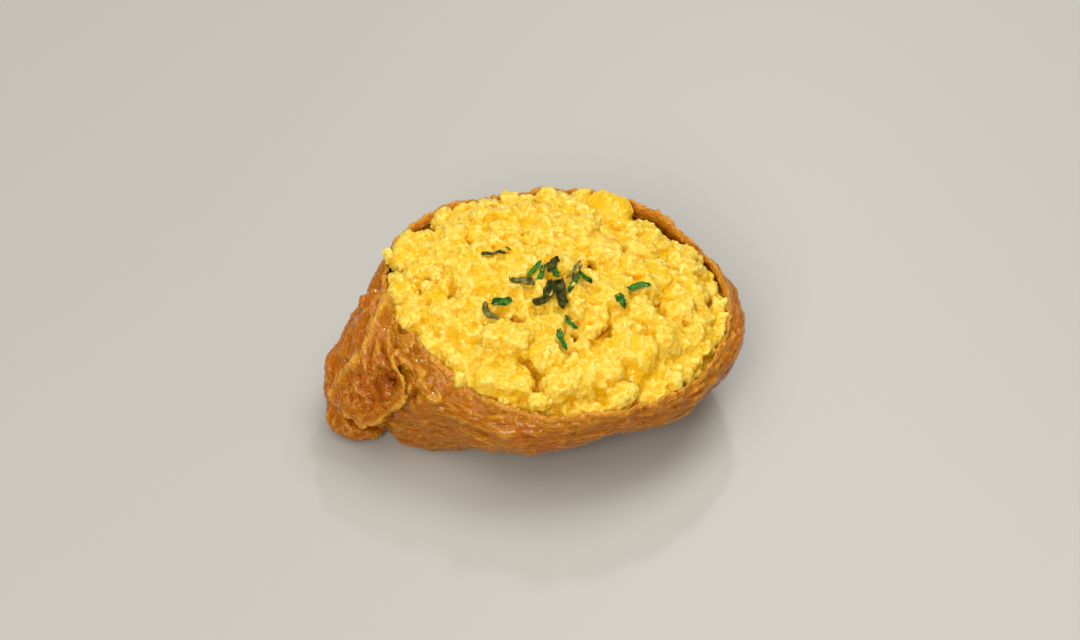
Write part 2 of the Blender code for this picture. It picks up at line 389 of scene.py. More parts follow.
curds = []
for x, y, lift, length, width, height, turn, yolk in LARGE_CURDS:
    centre = (x, y, float(dome(x, y)[0]) + lift - 0.8)
    tilt = random.uniform(-12, 12), random.uniform(-12, 12), turn
    curds.append((placed_block(centre, (length, width, height), tilt), yolk))
steps = int(OPENING_HALF[0] / FILL_SPACING) + 1
for row in range(-steps, steps + 1):
    for column in range(-steps, steps + 1):
        x = OPENING_X + (column + 0.5 * (row % 2)) * FILL_SPACING + random.uniform(-0.9, 0.9)
        y = row * FILL_SPACING * 0.87 + random.uniform(-0.9, 0.9)
        size = random.uniform(1.5, 2.9)
        height, share = dome(x, y)
        lift = random.uniform(-1.5, 0.1)
        turns = [random.uniform(-60, 60) for _ in range(3)]
        squash = random.uniform(0.7, 1.0), random.uniform(0.7, 1.2)
        if share > 1.0 or in_valley(x, y, 0.72):
            continue
        block = placed_block(
            (x, y, float(height) + lift - 0.6), (size, size * squash[1], size * squash[0]), turns
        )
        curds.append((block, 0.75 if random.random() < 0.12 else 0.1))
print(len(curds), "curds")

# %% [markdown]
# The grains are what makes a curd look like egg. They sit half sunk on the upper side
# of every pale curd, while the yolk-rich curds keep only a few.


# %% Grains on the curds
def grains_on(block, yolk, spacing):
    """Matrices of the grains on the upper side of one curd."""
    halves = [block.to_3x3().col[k].length for k in range(3)]
    area = 4 * math.pi * (sum(halves) / 3) ** 2
    wanted = int(area / (spacing * MM) ** 2 * (1 - 0.85 * yolk))
    found = []
    for _ in range(wanted):
        up = random.uniform(-0.25, 1)
        turn = random.uniform(0, 2 * math.pi)
        flat = math.sqrt(1 - up * up)
        on_ball = Vector((flat * math.cos(turn), flat * math.sin(turn), up))
        size = random.choice((0.6, 0.8, 1.0, 1.3)) * random.uniform(0.85, 1.15)
        outwards = (block.to_3x3().inverted().transposed() @ on_ball).normalized()
        spot = block @ on_ball / MM - outwards * size * random.uniform(0.5, 0.9)
        turns = [random.uniform(-90, 90) for _ in range(3)]
        shape = size, size * random.uniform(0.65, 1), size * random.uniform(0.6, 0.95)
        found.append(placed_block(spot, shape, turns))
    return found


grain_places = []
for block, yolk in curds:
    grain_places += grains_on(block, yolk, GRAIN_SPACING)
ball = rough_ball("ball", 3, 3.4)
egg_curds = joined_copies(ball, "egg_curds", [block for block, yolk in curds])
small_ball = rough_ball("small_ball", 2, 2.8)
grain_heap = joined_copies(small_ball, "grain_heap", grain_places)
bpy.data.objects.remove(small_ball)
print(len(grain_places), "grains")

# %% [markdown]
# Under the curds lies a smaller core, which fills the pouch. The curds are joined to
# its upper part, so that no gap shows between them.


# %% The core of the egg
def node_copy(node, name):
    """A copy of a CAD node with its loose triangles merged."""
    made = frame["nodes"][node].copy()
    made.data = made.data.copy()
    made.name = made.data.name = name
    bpy.context.scene.collection.objects.link(made)
    only(made)
    bpy.ops.object.mode_set(mode="EDIT")
    bpy.ops.mesh.select_all(action="SELECT")
    bpy.ops.mesh.remove_doubles(threshold=0.00001)
    bpy.ops.object.mode_set(mode="OBJECT")
    return made


egg_core = node_copy("egg_filling", "egg_core")
places = points_of(egg_core)
above = np.maximum(places[:, 2] / MM - CORE_LEVEL, 0)
places[:, 2] -= above * CORE_DROP * MM
place_points(egg_core, places)
core_top = egg_core.copy()
core_top.data = egg_core.data.copy()
bpy.context.scene.collection.objects.link(core_top)

only(egg_curds)
grain_heap.select_set(True)
core_top.select_set(True)
bpy.ops.object.join()
places = points_of(egg_curds)
warp = np.column_stack([pattern(swells, places / MM, 3.2, seed) for seed in (1, 2, 3)])
fine_warp = np.column_stack([pattern(swells, places / MM, 1.3, seed) for seed in (4, 5, 6)])
places = places + (0.9 * warp + 0.3 * fine_warp) * MM
# Below the lip the egg keeps inside the skin
angle = np.arctan2(places[:, 1], places[:, 0] - OPENING_X * MM)
reach = np.hypot(places[:, 0] - OPENING_X * MM, places[:, 1])
above_lip = places[:, 2] / MM - rim_height(angle)
limit = opening_radius(angle) + 0.1 + 0.9 * smooth_step(-3.0, -0.6, above_lip)
limit = (limit + smooth_step(-0.4, 0.8, above_lip)) * MM
held = np.minimum(limit / np.maximum(reach, MM), 1)
places[:, 0] = OPENING_X * MM + (places[:, 0] - OPENING_X * MM) * held
places[:, 1] *= held
place_points(egg_curds, places)
strays = joined_copies(ball, "strays", [placed_block(*stray) for stray in STRAY_CURDS])
bpy.data.objects.remove(ball)
only(egg_curds)
strays.select_set(True)
bpy.ops.object.join()
melt = egg_curds.modifiers.new("melt", "REMESH")
melt.mode = "VOXEL"
melt.voxel_size = EGG_VOXEL * MM
apply_all(egg_curds)
print("melted to", len(egg_curds.data.vertices), "points")

# %% [markdown]
# The underside is cut flat where the core hides it. Then the surface is roughened
# once more, and each point keeps three numbers for the material: how far it stands
# out, how deep it lies in the heap, and how yolky it is.

# %% The curds' surface
def surface_of(obj):
    data = obj.data
    faces = [face.vertices for face in data.polygons]
    return BVHTree.FromPolygons([point.co for point in data.vertices], faces)


LOOKS = [Vector((0, 0, 1))]
LOOKS += [Vector((math.cos(k * 0.785), math.sin(k * 0.785), 0.9)).normalized() for k in range(8)]


def openness_of(obj):
    """For each point, the share of ways up along which nothing within COVER_REACH mm covers it."""
    tree = surface_of(obj)
    found = np.zeros(len(obj.data.vertices))
    for k, (place, normal) in enumerate(zip(points_of(obj), normals_of(obj))):
        start = Vector(place) + Vector(normal) * 0.3 * MM
        found[k] = sum(tree.ray_cast(start, look, COVER_REACH * MM)[0] is None for look in LOOKS)
    return found / len(LOOKS)


only(egg_curds)
bpy.ops.object.mode_set(mode="EDIT")
bpy.ops.mesh.select_all(action="SELECT")
bpy.ops.mesh.bisect(
    plane_co=(0, 0, (CORE_LEVEL + 0.2) * MM), plane_no=(0, 0, 1), use_fill=True, clear_inner=True
)
bpy.ops.object.mode_set(mode="OBJECT")
places = points_of(egg_curds)
outward = normals_of(egg_curds)
yolkiness = np.zeros(len(places))
for block, yolk in curds:
    if yolk > 0.3:
        back = np.array(block.inverted())
        local = np.linalg.norm(places @ back[:3, :3].T + back[:3, 3], axis=1)
        yolkiness = np.maximum(yolkiness, yolk * smooth_step(1.45, 1.0, local))
on_top = smooth_step(CORE_LEVEL + 0.5, CORE_LEVEL + 1.5, places[:, 2] / MM)
spots = places / MM
lumps = 0.5 * pattern(curdled, spots, 3.8, 7) + 0.25 * pattern(curdled, spots, 1.5, 10)
crumbs = 0.27 * pattern(grains, spots, 0.95, 8) + 0.14 * pattern(grains, spots, 0.6, 9)
rough = lumps * (1 - 0.6 * yolkiness) + crumbs * (1 - 0.9 * yolkiness)
print("roughness of the curds in mm:", rough.min().round(2), rough.max().round(2))
place_points(egg_curds, places + outward * (rough * on_top * MM)[:, None])
keep_value(egg_curds, "yolk", yolkiness)
keep_value(egg_curds, "crest", crest_of(egg_curds, 12))
openness = openness_of(egg_curds)
hidden = np.nonzero(openness == 0)[0]
print("hidden points of the curds:", len(hidden), "of", len(openness))
openness = eased(egg_curds, np.column_stack([openness] * 3), 2)[:, 0]
keep_value(egg_curds, "openness", openness)
decimated_where(egg_curds, hidden, EGG_KEPT)
only(egg_curds)
bpy.ops.object.shade_smooth()
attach(egg_curds, "root")
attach(egg_core, "root")
print("egg_curds has", len(egg_curds.data.polygons), "faces")

# %% [markdown]
# The parsley needs the finished curds to rest on, so their surface is kept as a tree
# that rays can be cast at. The two egg pieces then stand for the CAD heap.

# %% The surface that the parsley lies on
egg_surface = surface_of(egg_curds)
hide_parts("egg_filling")
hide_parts("egg_filling")

# %% [markdown]
# ## The tofu skin
#
# Simmered tofu skin is thin and wet. Its wall is pulled into fine creases that run
# round the pouch, the cut lip is ragged and spongy, and the folded corner hangs down
# as a glossy flap. The CAD skin is remeshed finely enough to carry all of that.


# %% Sheets of skin
def skin_sheet(name, rows, thickness, relief):
    """A thin sheet of skin through rows of control points, in mm."""
    across, down = len(rows[0]), len(rows)
    bpy.ops.mesh.primitive_grid_add(x_subdivisions=across - 1, y_subdivisions=down - 1, size=1)
    sheet = bpy.context.object
    sheet.name = sheet.data.name = name
    places = points_of(sheet)
    order = np.lexsort((places[:, 0], -places[:, 1]))
    places[order] = np.array([p for row in rows for p in row]) * MM
    place_points(sheet, places)
    soft = sheet.modifiers.new("soft", "SUBSURF")
    soft.levels = soft.render_levels = 4
    apply_all(sheet)
    places = points_of(sheet)
    moved = relief(places / MM)
    place_points(sheet, places + normals_of(sheet) * (moved * MM)[:, None])
    thick = sheet.modifiers.new("thick", "SOLIDIFY")
    thick.thickness = thickness * MM
    thick.offset = 0
    rounded = sheet.modifiers.new("rounded", "SUBSURF")
    rounded.levels = rounded.render_levels = 1
    apply_all(sheet)
    only(sheet)
    bpy.ops.object.shade_smooth()
    return sheet


FLAP_ROWS = (
    ((-31.5, -1.5, 21.8), (-30.2, -2.7, 22.4), (-29.0, -3.7, 22.4), (-28.1, -3.0, 20.1)),
    ((-31.8, -9.4, 21.1), (-30.2, -10.5, 22.2), (-28.5, -12.0, 22.2), (-27.3, -12.4, 21.0)),
    ((-33.4, -13.8, 18.5), (-31.0, -15.4, 20.0), (-28.5, -16.6, 20.5), (-26.3, -17.1, 19.5)),
    ((-36.7, -14.8, 13.4), (-33.4, -17.8, 16.6), (-29.5, -19.5, 18.0), (-24.8, -20.6, 19.1)),
    ((-38.4, -15.4, 9.5), (-34.6, -19.0, 12.3), (-29.8, -21.7, 14.5), (-23.3, -23.6, 18.6)),
    ((-37.7, -17.3, 8.4), (-34.5, -20.8, 10.2), (-29.7, -23.9, 12.0), (-24.1, -24.3, 16.3)),
    ((-36.6, -19.5, 8.6), (-34.1, -22.0, 8.5), (-30.2, -22.6, 7.6), (-25.4, -24.0, 14.2)),
)
PLEAT_ROWS = (
    ((-26.6, -15.5, 20.8), (-24.7, -15.0, 20.6), (-23.2, -14.8, 19.7)),
    ((-27.3, -16.7, 20.0), (-25.2, -16.5, 19.9), (-23.1, -16.2, 19.0)),
    ((-25.5, -18.7, 19.9), (-23.4, -17.7, 19.3), (-21.5, -17.7, 18.8)),
    ((-23.5, -20.1, 19.7), (-21.6, -19.3, 19.0), (-19.5, -19.5, 18.5)),
    ((-22.4, -22.0, 19.4), (-20.4, -21.2, 18.5), (-18.3, -21.5, 17.8)),
    ((-21.0, -24.2, 18.7), (-19.0, -23.7, 17.7), (-16.9, -24.0, 17.1)),
    ((-19.8, -25.8, 17.6), (-17.7, -25.9, 16.8), (-15.4, -26.4, 16.3)),
)
# x, y, z and radius of the rolled edge that the corner hangs by, in mm
ROLL = (
    (-32.0, 0.8, 19.2, 2.1),
    (-33.4, -2.6, 16.6, 2.4),
    (-34.8, -6.0, 13.2, 2.8),
    (-36.4, -10.6, 9.2, 3.1),
    (-36.4, -14.6, 5.6, 3.1),
)
# The folded corner runs from the opening down to the table along this line
CORNER_LINE = Vector((-9.0, -27.0, -13.0)).normalized()


def corner_flow(places):
    """Places in mm, turned so that the first number runs down the folded corner."""
    side = CORNER_LINE.cross(Vector((0, 0, 1))).normalized()
    out = side.cross(CORNER_LINE)
    return places @ np.array((CORNER_LINE, side, out)).T


def corner_relief(places):
    """Wrinkles that run down the folded corner, in mm."""
    flow = corner_flow(places)
    creased = pattern(ridges, flow / (4.0, 1.0, 1.0), 1.9, 21)
    fine = pattern(ridges, flow / (2.2, 1.0, 1.0), 0.9, 22)
    return 0.46 * creased + 0.24 * fine + 0.45 * pattern(swells, places, 4.5, 23)


def rolled_edge(name, stations):
    """A closed, rounded roll of skin along the stations."""
    bpy.ops.curve.primitive_bezier_curve_add()
    roll = bpy.context.object
    roll.name = roll.data.name = name
    roll.data.splines.clear()
    line = roll.data.splines.new("BEZIER")
    line.bezier_points.add(len(stations) - 1)
    for point, (x, y, z, radius) in zip(line.bezier_points, stations):
        point.co = (x * MM, y * MM, z * MM)
        point.radius = radius
        point.handle_left_type = point.handle_right_type = "AUTO"
    roll.data.bevel_depth = MM
    roll.data.bevel_resolution = 6
    roll.data.resolution_u = 12
    roll.data.use_fill_caps = True
    only(roll)
    roll.location = (0, 0, 0)
    bpy.ops.object.convert(target="MESH")
    return bpy.context.object


corner_roll = rolled_edge("corner_roll", ROLL)
corner_flap = skin_sheet("corner_flap", FLAP_ROWS, 1.0, corner_relief)
lip_pleat = skin_sheet("lip_pleat", PLEAT_ROWS, 0.9, corner_relief)
print("flap and pleat:", len(corner_flap.data.polygons), len(lip_pleat.data.polygons), "faces")

# %% [markdown]
# The wall's creases are patterns drawn out along the way round the pouch. At the lip
# the skin was cut and torn, so its height wanders and its edge is crumbly.

# %% Folds drawn one by one
# Each is a depth (below zero) or a height in mm, a half width, and the points it follows
STROKES = (
    (-1.7, 0.8, ((-30.8, -3.7, 23.0), (-31.3, -6.6, 22.6), (-31.7, -9.6, 22.0),
                 (-32.2, -12.0, 20.9),
                 (-33.4, -13.4, 19.0), (-35.0, -13.6, 16.6), (-36.4, -12.6, 14.4))),
    (-0.9, 0.5, ((-29.1, -14.0, 22.5), (-28.6, -15.5, 21.5), (-28.1, -17.4, 20.5),
                 (-27.5, -18.8, 20.3))),
    (-1.5, 0.7, ((-24.4, -19.6, 20.7), (-22.8, -21.7, 19.5), (-22.2, -22.9, 17.8),
                 (-22.9, -24.0, 15.7),
                 (-25.1, -25.4, 14.0), (-27.5, -25.0, 11.5))),
    (-1.6, 0.7, ((-35.6, -19.5, 6.5), (-34.1, -20.7, 5.5), (-32.0, -20.7, 4.8), (-30.0, -20.4, 4.2),
                 (-28.6, -19.6, 3.0))),
    (-0.8, 0.5, ((-23.4, -16.7, 20.4), (-22.3, -20.9, 20.6), (-21.8, -23.3, 19.6),
                 (-20.4, -24.8, 18.6),
                 (-19.6, -26.1, 17.6))),
    (-0.7, 0.45, ((-26.5, -14.1, 21.5), (-26.6, -16.9, 21.3), (-25.3, -19.1, 20.5),
                 (-23.5, -20.1, 19.4))),
    (0.9, 0.8, ((-29.1, -2.2, 22.6), (-29.3, -6.2, 23.2), (-30.0, -8.4, 22.9), (-30.8, -10.9, 22.2),
                (-31.3, -12.9, 21.3), (-32.3, -15.0, 20.0), (-34.0, -16.3, 18.0),
                (-36.2, -16.2, 15.0),
                (-37.6, -16.8, 12.8), (-38.5, -17.3, 10.7))),
    (0.6, 0.4, ((-26.3, -16.4, 21.6), (-27.0, -17.8, 20.8), (-25.7, -20.7, 20.0),
                 (-23.9, -22.4, 19.2),
                (-22.1, -23.5, 19.0))),
    (0.8, 0.4, ((-19.1, -16.9, 20.3), (-18.5, -18.1, 20.1), (-19.7, -20.4, 20.2),
                 (-21.3, -22.7, 20.3),
                (-21.8, -23.7, 19.6), (-20.4, -25.2, 18.6), (-19.0, -26.3, 17.5),
                (-17.1, -26.8, 15.9))),
    (0.9, 0.5, ((-35.6, -21.0, 8.6), (-34.0, -22.0, 7.9), (-31.8, -23.3, 8.4), (-29.9, -24.5, 9.9),
                (-28.1, -24.8, 11.8), (-26.0, -25.1, 14.5), (-24.2, -24.8, 16.6),
                (-23.1, -23.5, 17.2),
                (-23.0, -22.4, 18.1), (-24.1, -21.1, 19.7))),
    (0.6, 0.35, ((-24.7, -13.9, 21.0), (-23.7, -16.0, 20.6), (-23.1, -18.9, 20.8),
                 (-23.2, -20.6, 20.4))),
    (-1.7, 3.2, ((-31.1, -22.0, 14.5), (-29.0, -22.3, 16.5), (-27.3, -21.6, 18.0))),
    (-1.3, 2.0, ((-30.5, 8.0, 20.5), (-31.6, 5.2, 19.5), (-33.0, 4.2, 16.0))),
    (-1.9, 2.8, ((-34.6, 3.6, 17.4), (-35.8, 0.8, 17.0), (-37.2, -2.4, 15.4), (-38.2, -4.6, 13.8))),
)


def stroke_relief(spots, strokes):
    """The height in mm that the strokes add at each spot."""
    total = np.zeros(len(spots))
    for amount, width, line in strokes:
        line = np.array(line)
        nearest = np.full(len(spots), np.inf)
        for start, end in zip(line[:-1], line[1:]):
            step = end - start
            share = np.clip((spots - start) @ step / (step @ step), 0, 1)
            gap = np.linalg.norm(spots - start - share[:, None] * step, axis=1)
            nearest = np.minimum(nearest, gap)
        total += amount * np.exp(-((nearest / width) ** 2))
    return total


# %% [markdown]
# The sheets and the roll are melted onto the wall by a voxel remesh, as skin that
# sticks to itself, and only then does the relief go on, so that it runs across joins.

# %% The wrinkled skin
SKIN_VOXEL, SKIN_KEPT = 0.37, 0.64
tofu_skin = node_copy("tofu_pouch", "tofu_skin")
only(tofu_skin)
for part in (corner_flap, lip_pleat, corner_roll):
    part.select_set(True)
bpy.ops.object.join()
finer = tofu_skin.modifiers.new("finer", "REMESH")
finer.mode = "VOXEL"
finer.voxel_size = SKIN_VOXEL * MM
apply_all(tofu_skin)
places = eased(tofu_skin, points_of(tofu_skin), 2)
place_points(tofu_skin, places)
spots = places / MM
reach = np.hypot(spots[:, 0] - OPENING_X, spots[:, 1])
inside = opening_radius(np.arctan2(spots[:, 1], spots[:, 0] - OPENING_X)) - reach
hidden = np.nonzero((inside > 0.4) & (spots[:, 2] < 17) | (spots[:, 2] < 0.4))[0]
decimated_where(tofu_skin, hidden, SKIN_KEPT)
places = points_of(tofu_skin)
print("tofu_skin without its hidden detail:", len(tofu_skin.data.polygons), "faces")
outward = normals_of(tofu_skin)
spots = places / MM
angle = np.arctan2(spots[:, 1], spots[:, 0] - OPENING_X)
reach = np.hypot(spots[:, 0] - OPENING_X, spots[:, 1])
flow = np.column_stack((angle * 33.0, spots[:, 2] * 1.1, reach * 0.8))
inner = opening_radius(angle)
in_ring = smooth_step(inner + 4.0, inner + 2.6, reach)
lip = smooth_step(2.6, 0.6, rim_height(angle) - spots[:, 2]) * in_ring
corner = smooth_step(-27.5, -31.5, spots[:, 0]) * smooth_step(10, 2, spots[:, 1])
resting = smooth_step(0.9, 0.1, spots[:, 2])
facing_out = smooth_step(inner + 0.5, inner + 1.5, reach)

# The cut edge is thinner than the wall, apart from one thick spongy place
pinch = 0.55 * smooth_step(4.0, 0.4, rim_height(angle) - spots[:, 2]) * in_ring
pinch *= 1 - swell(angle, ((236, 15, 1.0),))
outer_wall = inner + 1.9
pulled = np.maximum(outer_wall - reach, 0) * pinch
sideways = np.column_stack((np.cos(angle), np.sin(angle)))
places[:, :2] += sideways * (pulled * MM)[:, None]

long_creases = pattern(ridges, flow / (5.0, 1.0, 1.0), 2.1, 31)
short_creases = pattern(ridges, flow / (3.0, 1.0, 1.0), 1.0, 32)
puffs = pattern(swells, spots, 5.5, 33)
wall_relief = 0.45 * long_creases + 0.32 * short_creases + 0.5 * puffs
relief = wall_relief * (1 - corner) + corner_relief(spots) * corner
relief *= (0.25 + 0.75 * facing_out) * (1 - resting)
relief += stroke_relief(spots, STROKES)
places = places + outward * (relief * MM)[:, None]
wander = 0.75 * pattern(swells, flow, 4.2, 34) + 0.45 * pattern(swells, flow, 1.5, 35)
places[:, 2] += lip * wander * MM
crumble = 0.35 * pattern(grains, spots, 1.1, 36) + 0.2 * pattern(grains, spots, 0.7, 37)
places = places + outward * (lip * crumble * MM)[:, None]
places[:, 2] = np.maximum(places[:, 2], 0)
place_points(tofu_skin, places)
only(tofu_skin)
bpy.ops.object.shade_smooth()
print("tofu_skin has", len(tofu_skin.data.polygons), "faces")

# %% [markdown]
# A pattern that should follow the skin can't be found from its place alone, so the
# mesh keeps the numbers that the material needs.

# %% What the skin's material reads
keep_value(tofu_skin, "lip", lip)
keep_value(tofu_skin, "corner", corner)
keep_vector(tofu_skin, "flow", flow)
# The edge value paints the thin fold edges lighter, partly as a painted highlight
thin_edges = [(1, width, line) for amount, width, line in STROKES if amount > 0]
keep_value(tofu_skin, "edge", np.minimum(stroke_relief(spots, thin_edges), 1))
keep_value(tofu_skin, "crest", crest_of(tofu_skin, 8))
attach(tofu_skin, "root")
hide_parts("tofu_pouch")

# %% [markdown]
# ## The parsley
#
# Each flake is a scrap of dried leaf: a small grid pulled to a torn outline, curled,
# and laid on the curds. Some stayed green, and some dried to brown or straw.

# %% Parsley flakes
# x, y, length, width, heading, tilt, curl, kind
FLAKES = (
    (-8.1, 4.5, 5.2, 1.5, -33, 6, 0.5, "dried"),
    (-5.4, 5.6, 2.0, 0.4, -50, 10, 0.2, "dried"),
    (-0.2, 0.6, 4.2, 1.0, 62, 12, 0.4, "green"),
    (0.8, -1.1, 5.6, 1.4, 66, 18, 0.6, "green"),
    (-2.5, -3.6, 4.8, 2.2, -18, 8, 0.9, "straw"),
    (3.5, 0.8, 3.3, 2.2, 78, 28, 0.9, "dried"),
    (4.2, -0.6, 2.8, 1.7, -60, 14, 0.9, "green"),
    (7.3, -0.8, 4.6, 0.6, 52, 16, 0.3, "straw"),
    (8.1, -0.8, 4.4, 1.0, 64, 20, 0.5, "straw"),
    (9.7, -1.8, 4.4, 1.5, -42, 12, 1.4, "green"),
    (2.1, -7.1, 5.8, 3.2, 48, 14, 0.9, "dried"),
    (5.2, -7.6, 5.6, 3.4, 72, 16, 1.0, "dried"),
    (7.6, -5.4, 3.8, 1.3, 63, 18, 0.6, "green"),
    (-6.2, -8.1, 3.8, 2.4, 30, 12, 1.1, "green"),
    (-8.3, -10.2, 4.8, 2.0, -62, 10, 0.9, "straw"),
    (20.0, -3.5, 4.5, 1.8, -12, 8, 0.4, "green"),
    (16.5, -8.4, 3.2, 1.9, -38, 10, 0.5, "green"),
    (6.9, -11.9, 3.9, 1.2, -36, 6, 0.4, "green"),
    (5.4, -16.7, 5.6, 1.7, -86, 14, 0.6, "green"),
)


def leaf_scrap(name, length, width, curl, seed):
    """One torn and curled scrap of leaf about the origin, lying along X."""
    bpy.ops.mesh.primitive_grid_add(x_subdivisions=18, y_subdivisions=8, size=1)
    scrap = bpy.context.object
    scrap.name = name
    places = points_of(scrap)
    along, aside = places[:, 0] * 2, places[:, 1] * 2
    taper = np.sqrt(np.maximum(1 - np.abs(along) ** 2.6, 0.02))
    slide = Vector((seed * 3.1, 0, 0))
    spots = list(zip(along, aside))
    torn = [noise.noise(Vector((a * 2.6, b * 0.8, seed)) + slide) for a, b in spots]
    bent = [noise.noise(Vector((a * 1.3, b * 1.1, seed + 9)) + slide) for a, b in spots]
    torn, bent = np.array(torn), np.array(bent)
    side = aside * width / 2 * taper * (1 + 0.7 * torn) + width * 0.35 * np.sin(along * 1.7 + seed)
    turn = curl * aside
    places[:, 0] = along * length / 2 * (1 + 0.12 * torn)
    places[:, 1] = side * np.cos(turn * 0.8)
    places[:, 2] = width * 0.32 * curl * aside**2 + 0.35 * bent * width + 0.25 * curl * along**2
    place_points(scrap, places * MM)
    thick = scrap.modifiers.new("thick", "SOLIDIFY")
    thick.thickness = 0.09 * MM
    thick.offset = 0
    apply_all(scrap)
    return scrap


def resting_place(tree, x, y):
    """Where a flake rests in metres: on the highest points round x, y, leaning with them."""
    found = []
    for turn in range(8):
        aside, up = math.cos(turn * math.pi / 4), math.sin(turn * math.pi / 4)
        start = Vector(((x + aside) * MM, (y + up) * MM, 0.1))
        found.append(tree.ray_cast(start, Vector((0, 0, -1))))
    heights = sorted(spot.z for spot, _, _, _ in found)
    lean = sum((normal for _, normal, _, _ in found), Vector((0, 0, 4))).normalized()
    return Vector((x * MM, y * MM, heights[-3])), lean


flakes = {"green": [], "dried": [], "straw": []}
for seed, (x, y, length, width, heading, tilt, curl, kind) in enumerate(FLAKES):
    scrap = leaf_scrap(f"flake_{seed}", length, width, curl, seed * 1.7 + 0.3)
    spot, lean = resting_place(egg_surface, x, y)
    stand = Vector((0, 0, 1)).rotation_difference(lean).to_matrix().to_4x4()
    turned = Euler((0, math.radians(-tilt * 0.6), 0)).to_matrix().to_4x4()
    headed = Matrix.Rotation(math.radians(heading), 4, "Z")
    lift = Matrix.Translation(spot + Vector((0, 0, 0.2 * MM)))
    scrap.data.transform(lift @ stand @ headed @ turned)
    flakes[kind].append(scrap)

parsley = []
for kind, scraps in flakes.items():
    only(scraps[0])
    for scrap in scraps:
        scrap.select_set(True)
    bpy.ops.object.join()
    piece = scraps[0]
    piece.name = piece.data.name = f"parsley_{kind}"
    bpy.ops.object.shade_smooth()
    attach(piece, "root")
    parsley.append(piece)
print("parsley:", [(piece.name, len(piece.data.polygons)) for piece in parsley])


# %% [markdown]
# ## Materials
#
# Two effects are shared. "mottle" gives soft uneven patches, and "fine_relief" gives
# the height of grains too small to model. Each is a node group with its own scale.


# %% Node helpers
def add_node(tree, kind, sockets=None, **settings):
    made = tree.nodes.new(kind)
    for name, value in settings.items():
        setattr(made, name, value)
    for name, value in (sockets or {}).items():
        if isinstance(value, bpy.types.NodeSocket):
            tree.links.new(value, made.inputs[name])
        else:
            made.inputs[name].default_value = value
    return made


def sums(tree, operation, first, second=0.0, third=0.0, clamp=False):
    numbers = {0: first, 1: second, 2: third}
    made = add_node(tree, "ShaderNodeMath", numbers, operation=operation, use_clamp=clamp)
    return made.outputs[0]


def blend(tree, share, first, second):
    """A colour between two colours."""
    made = add_node(tree, "ShaderNodeMix", {0: share, 6: first, 7: second}, data_type="RGBA")
    return made.outputs[2]


def ranged(tree, value, low, high, to_low=0.0, to_high=1.0):
    made = add_node(
        tree,
        "ShaderNodeMapRange",
        {"Value": value, "From Min": low, "From Max": high, "To Min": to_low, "To Max": to_high},
        interpolation_type="SMOOTHSTEP",
    )
    return made.outputs["Result"]


def new_group(name, inputs, outputs):
    group = bpy.data.node_groups.new(name, "ShaderNodeTree")
    for socket, kind, value in inputs:
        made = group.interface.new_socket(socket, in_out="INPUT", socket_type=kind)
        if value is not None:
            made.default_value = value
    for socket in outputs:
        group.interface.new_socket(socket, in_out="OUTPUT", socket_type="NodeSocketFloat")
    start = group.nodes.new("NodeGroupInput")
    end = group.nodes.new("NodeGroupOutput")
    return group, start, end


mottle_group, start, end = new_group(
    "mottle",
    (("Place", "NodeSocketVector", None), ("Scale", "NodeSocketFloat", 200.0)),
    ("Patches", "Specks"),
)
broad = add_node(
    mottle_group,
    "ShaderNodeTexNoise",
    {"Vector": start.outputs["Place"], "Scale": start.outputs["Scale"], "Detail": 4.0},
)
finer_scale = sums(mottle_group, "MULTIPLY", start.outputs["Scale"], 5.3)
specks = add_node(
    mottle_group,
    "ShaderNodeTexNoise",
    {"Vector": start.outputs["Place"], "Scale": finer_scale, "Detail": 2.0},
)
patch_range = ranged(mottle_group, broad.outputs["Fac"], 0.35, 0.68)
speck_range = ranged(mottle_group, specks.outputs["Fac"], 0.4, 0.72)
mottle_group.links.new(patch_range, end.inputs["Patches"])
mottle_group.links.new(speck_range, end.inputs["Specks"])

relief_group, start, end = new_group(
    "fine_relief",
    (("Place", "NodeSocketVector", None), ("Scale", "NodeSocketFloat", 1200.0)),
    ("Height",),
)
grain_cells = add_node(
    relief_group,
    "ShaderNodeTexVoronoi",
    {"Vector": start.outputs["Place"], "Scale": start.outputs["Scale"]},
    feature="SMOOTH_F1",
)
fuzz_scale = sums(relief_group, "MULTIPLY", start.outputs["Scale"], 1.7)
fuzz = add_node(
    relief_group,
    "ShaderNodeTexNoise",
    {"Vector": start.outputs["Place"], "Scale": fuzz_scale, "Detail": 4.0},
)
dome_up = sums(relief_group, "SUBTRACT", 1.0, grain_cells.outputs["Distance"])
both = sums(relief_group, "MULTIPLY_ADD", fuzz.outputs["Fac"], 1.3, dome_up)
relief_group.links.new(both, end.inputs["Height"])


def new_material(name, colour):
    made = bpy.data.materials.new(name)
    made.use_nodes = True
    tree = made.node_tree
    shader = tree.nodes["Principled BSDF"]
    made.diffuse_color = (*colour, 1)
    return made, tree, shader


def use_group(tree, group, place, scale):
    made = tree.nodes.new("ShaderNodeGroup")
    made.node_tree = group
    tree.links.new(place, made.inputs["Place"])
    made.inputs["Scale"].default_value = scale
    return made


def set_inputs(shader, values):
    """What is the same all over a surface is set on the shader itself."""
    for name, value in values.items():
        shader.inputs[name].default_value = value


def bumped(tree, shader, height, strength, distance):
    bump = add_node(
        tree, "ShaderNodeBump", {"Height": height, "Strength": strength, "Distance": distance}
    )
    tree.links.new(bump.outputs["Normal"], shader.inputs["Normal"])


def dress(piece, material):
    piece.data.materials.clear()
    piece.data.materials.append(material)


def value_of(tree, name):
    return add_node(tree, "ShaderNodeAttribute", attribute_name=name).outputs["Fac"]
